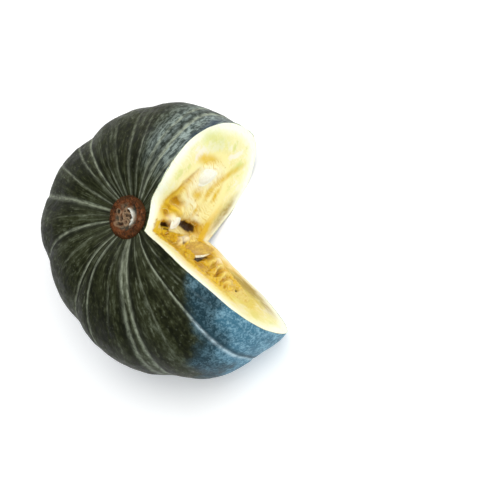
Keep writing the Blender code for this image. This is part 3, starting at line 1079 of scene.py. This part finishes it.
def makePulp():
    filling = cavityBlob("seedPulp", cavity["gap"])
    filling.data.materials.append(pulpFinish())
    cutAway(filling, notchCutter("tear", pulp, tornProud))
    mesh = filling.data
    points = meshPoints(mesh) - core
    colours = np.tile(np.array(pulp["tints"]["gold"]), (len(points), 1))
    torn = np.zeros(len(points))
    flow = np.zeros((len(points), 3))
    lie = points / millimetre
    best = np.full(len(points), pulp["faceReach"])
    farOut, farTurn = pulp["farGrain"]
    for side in sides:
        out, up, proud = faceCoordinates(points, side)
        chosen = (np.abs(proud) < best) & (out > -pulp["pastEdge"])
        best[chosen] = np.abs(proud[chosen])
        _, colour, lie[chosen] = tornField(side, out[chosen], up[chosen])
        colours[chosen] = colour
        torn[chosen] = (colour[:, 0] > 0.45) & (colour[:, 2] < pulp["stringBlue"][side])
        isFar = (out[chosen] > farOut) & (side == "right")
        angle = np.radians(np.where(isFar, farTurn, pulp["grain"]))[:, None]
        flow[chosen] = np.cos(angle) * faceWay(side) + np.sin(angle) * upright
    store(mesh, "pulpTint", colours, "FLOAT_COLOR")
    store(mesh, "torn", torn)
    store(mesh, "flow", flow, "FLOAT_VECTOR")
    store(mesh, "lie", lie, "FLOAT_VECTOR")
    mesh.shade_smooth()
    print("pulp:", len(mesh.polygons), "faces")
    return filling


def pulpFinish():
    place = newFinish("tornPulp", pulp["tints"], IOR=1.4, Specular_IOR_Level=0.12, Subsurface_Weight=0.04,
                      Subsurface_Scale=0.001, Subsurface_Radius=(1, 0.55, 0.15))
    tint = read("pulpTint", "Color")
    lie = read("lie", "Vector")
    threads = addNoise(doVector("MULTIPLY", lie, (0.14, 1.05, 1)), 1, 5, 0.68, 0.4)
    flecks = addNoise(place, 520, 3, 0.6)
    darker = mixColours(1, tint, "darker", "MULTIPLY")
    # pale threads keep off the dark gaps
    bright = spread(addNode("ShaderNodeSeparateColor", {0: tint}).outputs[0], 0.08, 0.5, (0, 0.45))
    lighter = mixColours(bright, tint, "pale")
    colour = layers(tint, (spread(threads, 0.5, 0.36, (0, 0.85)), darker),
                    (spread(threads, 0.54, 0.68, (0, 0.45)), lighter),
                    (spread(flecks, 0.6, 0.74, (0, 0.35)), lighter))
    return endFinish(Base_Color=colour, Roughness=spread(flecks, 0.3, 0.7, (0.3, 0.52)),
                     Normal=addBump(threads, 0.55, 0.0005))


strings = {
    # the tree's inputs; lengths in metres, the turn in radians from the lie of the pulp
    "inputs": {"Strings per area": 9000.0, "Length": 0.0085, "Radius": 0.0002, "Turn": 0.32, "Seed": 8},
    "bows": (0.0006, -0.0009, 0.0016, -0.0004),
    "lifts": (0.0009, 0.0013, 0.0007, 0.0016),
    "droop": -0.12,  # how far the ends lie under the middle, as a share of half the length
    "sizes": (0.45, 1.25),
    "tints": {"pale": (0.86, 0.74, 0.36), "gold": (0.7, 0.41, 0.045)},
}


def stringFinish():
    place = newFinish("pulpString", strings["tints"], IOR=1.42, Subsurface_Weight=0.25,
                      Subsurface_Scale=0.002)
    mixed = mixColours(read("stringTint"), "pale", "gold")
    mixed = mixColours(0.55, mixed, read("pulpTint", "Color"))
    wet = addNoise(place, 700, 3)
    colour = mixColours(spread(wet, 0.5, 0.75, (0, 0.4)), mixed, "gold")
    return endFinish(Base_Color=colour, Roughness=spread(wet, 0.3, 0.7, (0.28, 0.45)),
                     Normal=addBump(wet, 0.3, 0.0003))


def newTree(name, numbers):
    # a geometry tree with a mesh in, a mesh out and named number inputs; returns its inputs' sockets
    tree = bpy.data.node_groups.new(name, "GeometryNodeTree")
    for way in ("INPUT", "OUTPUT"):
        tree.interface.new_socket("Geometry", in_out=way, socket_type="NodeSocketGeometry")
    for label, value in numbers.items():
        kind = "NodeSocketInt" if isinstance(value, int) else "NodeSocketFloat"
        tree.interface.new_socket(label, in_out="INPUT", socket_type=kind).default_value = value
    inHand["tree"] = tree
    return tree.nodes.new("NodeGroupInput").outputs


def growOn(item, name, tree, values, finish):
    # runs a geometry tree on a copy of the piece and keeps the result as a plain mesh
    grown = addObject(name, item.data.copy())
    grown.data.materials.clear()
    grown.data.materials.append(finish)
    growth = grown.modifiers.new("growth", "NODES")
    growth.node_group = tree
    for socket in tree.interface.items_tree:
        if socket.in_out == "INPUT" and socket.name in values:
            growth[socket.identifier] = values[socket.name]
    applyModifiers(grown)
    grown.data.shade_smooth()
    return grown


def geo(kind, inputs=None, **settings):
    return addNode("GeometryNode" + kind, inputs, **settings)


def combine(x, y, z):
    return addNode("ShaderNodeCombineXYZ", {0: x, 1: y, 2: z})


def randomBetween(low, high, seed):
    return addNode("FunctionNodeRandomValue", {2: low, 3: high, "Seed": seed}, data_type="FLOAT").outputs[1]


def stringTree(finish):
    given = newTree("pulpStrings", strings["inputs"])
    torn = geo("InputNamedAttribute", {"Name": "torn"}, data_type="FLOAT")
    density = times(given["Strings per area"], doMath("GREATER_THAN", torn.outputs[0], 0.95))
    points = geo("DistributePointsOnFaces",
                 {"Mesh": given["Geometry"], "Density": density, "Seed": given["Seed"]})
    # each string turns a little from the lie of the pulp
    flow = geo("InputNamedAttribute", {"Name": "flow"}, data_type="FLOAT_VECTOR")
    lie = addNode("FunctionNodeAlignRotationToVector",
                  {"Rotation": points.outputs["Rotation"], "Vector": flow}, axis="X", pivot_axis="Z")
    twist = combine(0, 0, randomBetween(times(given["Turn"], -1), given["Turn"], 5))
    spin = addNode("FunctionNodeEulerToRotation", {0: twist})
    rotation = addNode("FunctionNodeRotateRotation", {0: lie, 1: spin}, rotation_space="LOCAL")
    # a few bowed shapes, thin at both ends, to pick from
    shapes = geo("JoinGeometry")
    half = times(given["Length"], 0.5)
    fall = times(half, strings["droop"])
    profile = geo("CurvePrimitiveCircle", {"Resolution": 5, "Radius": given["Radius"]})
    ends = minus(times(geo("SplineParameter").outputs["Factor"], 2), 1)
    thick = minus(1.05, times(ends, ends))
    for bow, lift in zip(strings["bows"], strings["lifts"]):
        curve = geo("CurveQuadraticBezier", {
            "Resolution": 7, "Start": combine(times(half, -1), bow, fall),
            "Middle": combine(0, -bow, 2 * lift), "End": combine(half, bow * 0.5, fall)})
        shaped = geo("SetCurveRadius", {"Curve": curve, "Radius": thick})
        tube = geo("CurveToMesh", {"Curve": shaped, "Profile Curve": profile, "Fill Caps": True})
        inHand["tree"].links.new(geo("GeometryToInstance", {0: tube}).outputs[0], shapes.inputs[0])
    placed = geo("InstanceOnPoints", {
        "Points": points, "Instance": shapes, "Pick Instance": True, "Rotation": rotation,
        "Scale": randomBetween(*strings["sizes"], 6)})
    tone = randomBetween(0, 1, 7)
    toned = geo("StoreNamedAttribute", {"Geometry": placed, "Name": "stringTint", "Value": tone},
                data_type="FLOAT", domain="INSTANCE")
    coated = geo("SetMaterial", {"Geometry": geo("RealizeInstances", {0: toned}), "Material": finish})
    addNode("NodeGroupOutput", {0: coated})
    return inHand["tree"]


seedPulp = makePulp()
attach(seedPulp, "root")
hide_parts("seed_pulp")

stringCoat = stringFinish()
pulpStrings = growOn(seedPulp, "pulpStrings", stringTree(stringCoat), strings["inputs"], stringCoat)
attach(pulpStrings, "root")
print("strings:", len(pulpStrings.data.polygons), "faces")


# Seeds bared by the cuts, near the CAD's places; those that hardly show lie deeper in the pulp

seeds = {
    "size": (0.0175, 0.0105, 0.004),
    "margin": 0.8,  # where the plump middle gives way to the thin margin
    "unevenness": 0.03,
    "curl": 0.00035,
    "rings": 17,  # on each side
    "columns": 52,
    # side, middle in mm, way of the tip, way of the flat side; each is (out, up, proud); then how tan,
    # how far pulp coats it, and how far it has sunk, in mm
    "lies": (
        ("right", (38, 10.8, 0.2), (0.52, -0.85, 0.06), (0, 0.06, 1), 0.06, 0.26, 0.7),
        ("right", (8, 15.5, -1), (-0.7, 0.55, 0.45), (0.3, -0.2, 0.9), 0.05, 0.15, 0.4),
        ("right", (25, -3, -0.8), (0.88, 0.42, -0.2), (0.15, -0.1, 0.95), 0.35, 0.9, 4.2),
        ("left", (18.6, 7.2, 2), (0.59, -0.53, 0.61), (0.12, 0.8, 0.6), 1, 0.42, 0),
        ("left", (6.5, -6.5, 0.6), (-0.45, 0.7, 0.55), (0.75, 0.2, 0.6), 1, 1, 3.8),
        ("left", (29, -6.5, 1), (0.89, -0.45, 0.05), (0, 0.1, 1), 0.45, 1, 4.4),
        ("left", (45, 5, -0.4), (0.95, 0.1, -0.25), (0.2, 0.2, 0.95), 0.5, 1, 4.2),
    ),
    "paleWay": (-0.96, 0.2, -0.2),  # a tan seed keeps a pale margin on this side,
    "paleFrom": (0.0012, 0.0036),  # between these distances from its middle
    "tints": {
        "white": (0.84, 0.825, 0.7),
        "tan": (0.5, 0.285, 0.03),
        "film": (0.76, 0.54, 0.13),
        "shade": (0.4, 0.24, 0.06),
        "pale": pulp["tints"]["pale"],
    },
}


def seedFinish():
    place = newFinish("seedCoat", seeds["tints"], IOR=1.45, Specular_IOR_Level=0.25, Subsurface_Weight=0.1,
                      Subsurface_Scale=0.001)
    grain = addNoise(place, 850, 4, 0.65, 0.5)
    blotch = addNoise(place, 260, 4, 0.6)
    howTan = read("seedTan")
    middle = mixColours(times(howTan, spread(blotch, 0.25, 0.6, (0.86, 1))), "white", "tan")
    film = spread(plus(read("seedCoat"), minus(blotch, 0.5)), 0.3, 0.72)
    coat = mixColours(spread(grain, 0.35, 0.62), "film", "pale")
    worn = plus(times(howTan, 0.52), 0.07)
    colour = layers(middle, (spread(read("seedMargin"), 0.35, 0.75), "white"), (times(film, 0.92), coat),
                    (times(spread(grain, 0.56, 0.4), worn), "shade"))
    return endFinish(Base_Color=colour, Roughness=spread(grain, 0.3, 0.7, (0.32, 0.55)),
                     Normal=addBump(grain, 0.25, 0.0002))


def seedTurn(side, middle, tip, flat, sunk):
    ways = np.stack([faceWay(side), upright, gapWay(side)])
    along = unit(np.array(tip) @ ways)
    across = unit(np.cross(np.array(flat) @ ways, along))
    out, up, proud = (np.array(middle) - upright * sunk) * millimetre
    where = innerEdge(up) + out * ways[0] + proud * ways[2] + core
    return np.stack([along, across, np.cross(along, across)]), where


def makeSeeds():
    coat = seedFinish()
    length, width, thickness = seeds["size"]
    tilts = np.linspace(88, 4, seeds["rings"])
    tilts = np.radians(np.concatenate([tilts, [0], -tilts[::-1]]))
    tilt, azimuth = grid(tilts, np.linspace(0, 2 * np.pi, seeds["columns"], endpoint=False))
    share = np.cos(tilt)
    along = share * np.cos(azimuth)
    across = share * np.sin(azimuth) * (1.04 - 0.34 * along - 0.16 * along**2)
    plump = np.maximum(1 - (share / seeds["margin"]) ** 2, 0) ** 0.62
    lip = 0.34 * np.sqrt(np.maximum(1 - share**12, 0)) * ease(share, 0.55, 0.92)
    tall = np.sign(tilt) * np.maximum(plump, lip) * thickness / 2
    for number, (side, middle, tip, flat, tan, coated, sunk) in enumerate(seeds["lies"], start=1):
        node = f"seed_{number:02d}"
        uneven = 1 + seeds["unevenness"] * np.sin(3 * azimuth + number)
        curled = tall + seeds["curl"] * np.sin(along * 2.2 + number)
        local = stack(along * length / 2 * uneven, across * width / 2 * uneven, curled)
        turn, where = seedTurn(side, middle, tip, flat, sunk)
        rows = local @ turn + where
        seed = closedGrid(f"seed{number}", rows)
        lowSide = 1 - tan * (1 - ease((rows - where) @ np.array(seeds["paleWay"]), *seeds["paleFrom"]))
        count = len(seed.data.vertices)
        store(seed.data, "seedTan", np.full(count, tan))
        store(seed.data, "seedCoat", np.full(count, coated))
        store(seed.data, "seedMargin", np.append(ease(share, 0.62, 0.86) * lowSide, [0, 0]))
        seed.data.materials.append(coat)
        seed.data.shade_smooth()
        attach(seed, "root")
        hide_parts(node)
    print("seeds:", len(seeds["lies"]))


makeSeeds()


# Corky scar that the stalk left

stem = {
    "middle": (-0.0005, 0.0016, 0),  # from the core
    "radius": 0.0118,
    "stretch": 1.06,  # along X
    "rim": 0.0052,
    "outline": ((0, 0.6), (0.26, 0.57), (0.5, 0.62), (0.6, 0.74), (0.7, 0.93), (0.86, 1), (0.98, 0.9),
                (1.045, 0.66), (1.04, 0.4), (1, 0.2), (0.9, 0.12)),
    "rings": 92,
    "columns": 168,
    "bundles": 13,  # small pits with a pale lip
    # how far round and out each lies, its size, stretch and lean, and how pale its lip is
    "bundlePlaces": ((0, 2 * np.pi), (0.001, 0.0064)),
    "bundleShapes": ((0.0006, 0.0013), (1, 2.4), (0, 180)),
    "bundlePale": (0.35, 0.8),
    "roughness": (0.0021, 0.00042),  # size, height
    "moss": 0.0034,  # size of its patches
    "ringSize": 0.0011,
    "rises": {"ring": 0.0003, "crack": -0.0005, "lip": 0.0004, "pit": -0.001, "crescent": 0.0009,
              "hollow": -0.0012},
    "crescent": (-0.0003, 0.002, 0.0061, 0.00085),  # pale pith: middle, radius, half width
    "hollow": (0.0038, -0.0056, 0.003, 0.0013),  # beside it: middle, half length, half width
    "tints": {
        "rust": (0.15, 0.044, 0.01),
        "brown": (0.07, 0.026, 0.006),
        "dark": (0.013, 0.008, 0.005),
        "beige": (0.4, 0.27, 0.16),
        "pith": (0.82, 0.83, 0.74),
        "moss": (0.045, 0.044, 0.03),
        "darker": (0.45, 0.4, 0.36),  # multiplies the tint in the grain
    },
}


def makeStem():
    outline = np.array(stem["outline"])
    across, upwards = np.diff(outline, axis=0).T
    lengths = np.append(0, np.cumsum(np.hypot(across * 2.3, upwards)))
    steps = np.linspace(0.012, 1, stem["rings"]) * lengths[-1]
    shares = np.interp(steps, lengths, outline[:, 0])
    share, azimuth = grid(shares, np.linspace(0, 2 * np.pi, stem["columns"], endpoint=False))
    rise = np.interp(steps, lengths, outline[:, 1])[:, None]
    round3d = stack(np.cos(azimuth), np.sin(azimuth), share)
    edge = softNoise(round3d * (1, 1, 0), 0.55, 61)
    reach = share * stem["radius"] * (1 + 0.035 * edge * ease(share, 0.4, 0.9))
    height = fruit["crownHeight"] - fruit["stemDimple"][0] + stem["rim"] * rise
    points = fromPolar(azimuth, reach, np.broadcast_to(height, reach.shape)) * (stem["stretch"], 1, 1)
    x, y = points[..., 0], points[..., 1]
    onRing = ease(share, 0.56, 0.7)
    roughSize, roughHeight = stem["roughness"]
    rises = stem["rises"]
    rough = softNoise(points, roughSize, 62)
    crack = np.abs(softNoise(round3d * (1, 1, 0.35), 0.085, 63, 2))
    rings = softNoise(stack(reach, 0.0005 * rough, 0 * x), stem["ringSize"], 64, 2)
    lift = roughHeight * rough + onRing * (rises["ring"] * rings + rises["crack"] * ease(crack, 0.16, 0))
    tints = {name: np.array(colour) for name, colour in stem["tints"].items()}

    def paint(colour, tint, weight):
        return blend(colour, tints[tint], weight[..., None])

    shade = ease(0.5 + 0.6 * rough + 0.3 * rings, 0.15, 0.85)
    ringColour = paint(tints["brown"], "rust", shade)
    ringColour = paint(ringColour, "beige", 0.22 * ease(rough + 0.5 * rings, 0.45, 0.95))
    ringColour = paint(ringColour, "dark", 0.75 * ease(crack, 0.2, 0.02) * onRing)
    mossy = ease(softNoise(points, stem["moss"], 66), -0.35, 0.4)[..., None]
    middle = blend(tints["moss"], blend(tints["rust"], 0.55 * tints["beige"], mossy), shade[..., None])
    colour = blend(middle, ringColour, onRing[..., None])
    # vascular bundles: a dark pit inside a ragged pale lip
    random = np.random.default_rng(65)
    for _ in range(stem["bundles"]):
        turn, away = (random.uniform(*span) for span in stem["bundlePlaces"])
        size, stretch, lean = (random.uniform(*span) for span in stem["bundleShapes"])
        a, b = leanAlong(x - away * np.cos(turn), y - away * np.sin(turn), lean)
        gap = np.hypot(a / stretch, b) / size + 0.45 * rough
        pit, lip = bump(gap, 0.7), bump(gap - 1.35, 0.34)
        lift += rises["lip"] * lip + rises["pit"] * pit
        colour = paint(colour, "beige", random.uniform(*stem["bundlePale"]) * lip)
        colour = paint(colour, "dark", 0.92 * pit)
    # pale crescent of pith, and the hollow beside it
    atX, atY, radius, width = stem["crescent"]
    fromArc = np.hypot(x - atX, y - atY) - radius
    swing = np.degrees(np.arctan2(x - atX, atY - y))
    taper = np.cos(np.radians(np.clip(swing * 1.35, -90, 90)))
    crescent = bump(fromArc, width * (0.25 + taper)) * ease(taper, 0.05, 0.45)
    atX, atY, halfLong, halfWide = stem["hollow"]
    hollow = np.exp(-(((x - atX) / halfLong) ** 2 + ((y - atY) / halfWide) ** 2))
    lift += rises["crescent"] * crescent + rises["hollow"] * hollow
    colour = paint(paint(colour, "moss", 0.85 * hollow), "pith", 0.95 * crescent)
    points[..., 2] += lift * (1 - ease(share, 1, 1.04))
    scar = closedGrid("stemScar", points + stem["middle"] + core)
    colours = np.concatenate([colour.reshape(-1, 3), colour[:1, 0], colour[-1:, 0]])
    store(scar.data, "scarTint", colours, "FLOAT_COLOR")
    scar.data.materials.append(corkFinish())
    scar.data.shade_smooth()
    return scar


def corkFinish():
    place = newFinish("corkyScar", stem["tints"], IOR=1.42, Specular_IOR_Level=0.2)
    tint = read("scarTint", "Color")
    grain = addNoise(place, 1500, 5, 0.7)
    lumps = addNoise(place, 600, 4, 0.6)
    darker = mixColours(1, tint, "darker", "MULTIPLY")
    colour = layers(tint, (spread(grain, 0.55, 0.35, (0, 0.6)), darker),
                    (spread(lumps, 0.62, 0.8, (0, 0.25)), "beige"))
    return endFinish(Base_Color=colour, Roughness=spread(lumps, 0.3, 0.7, (0.55, 0.85)),
                     Normal=addBump(grain, 0.6, 0.0005))


stemScar = makeStem()
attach(stemScar, "root")
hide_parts("stem_scar")
print("stem scar:", len(stemScar.data.polygons), "faces")
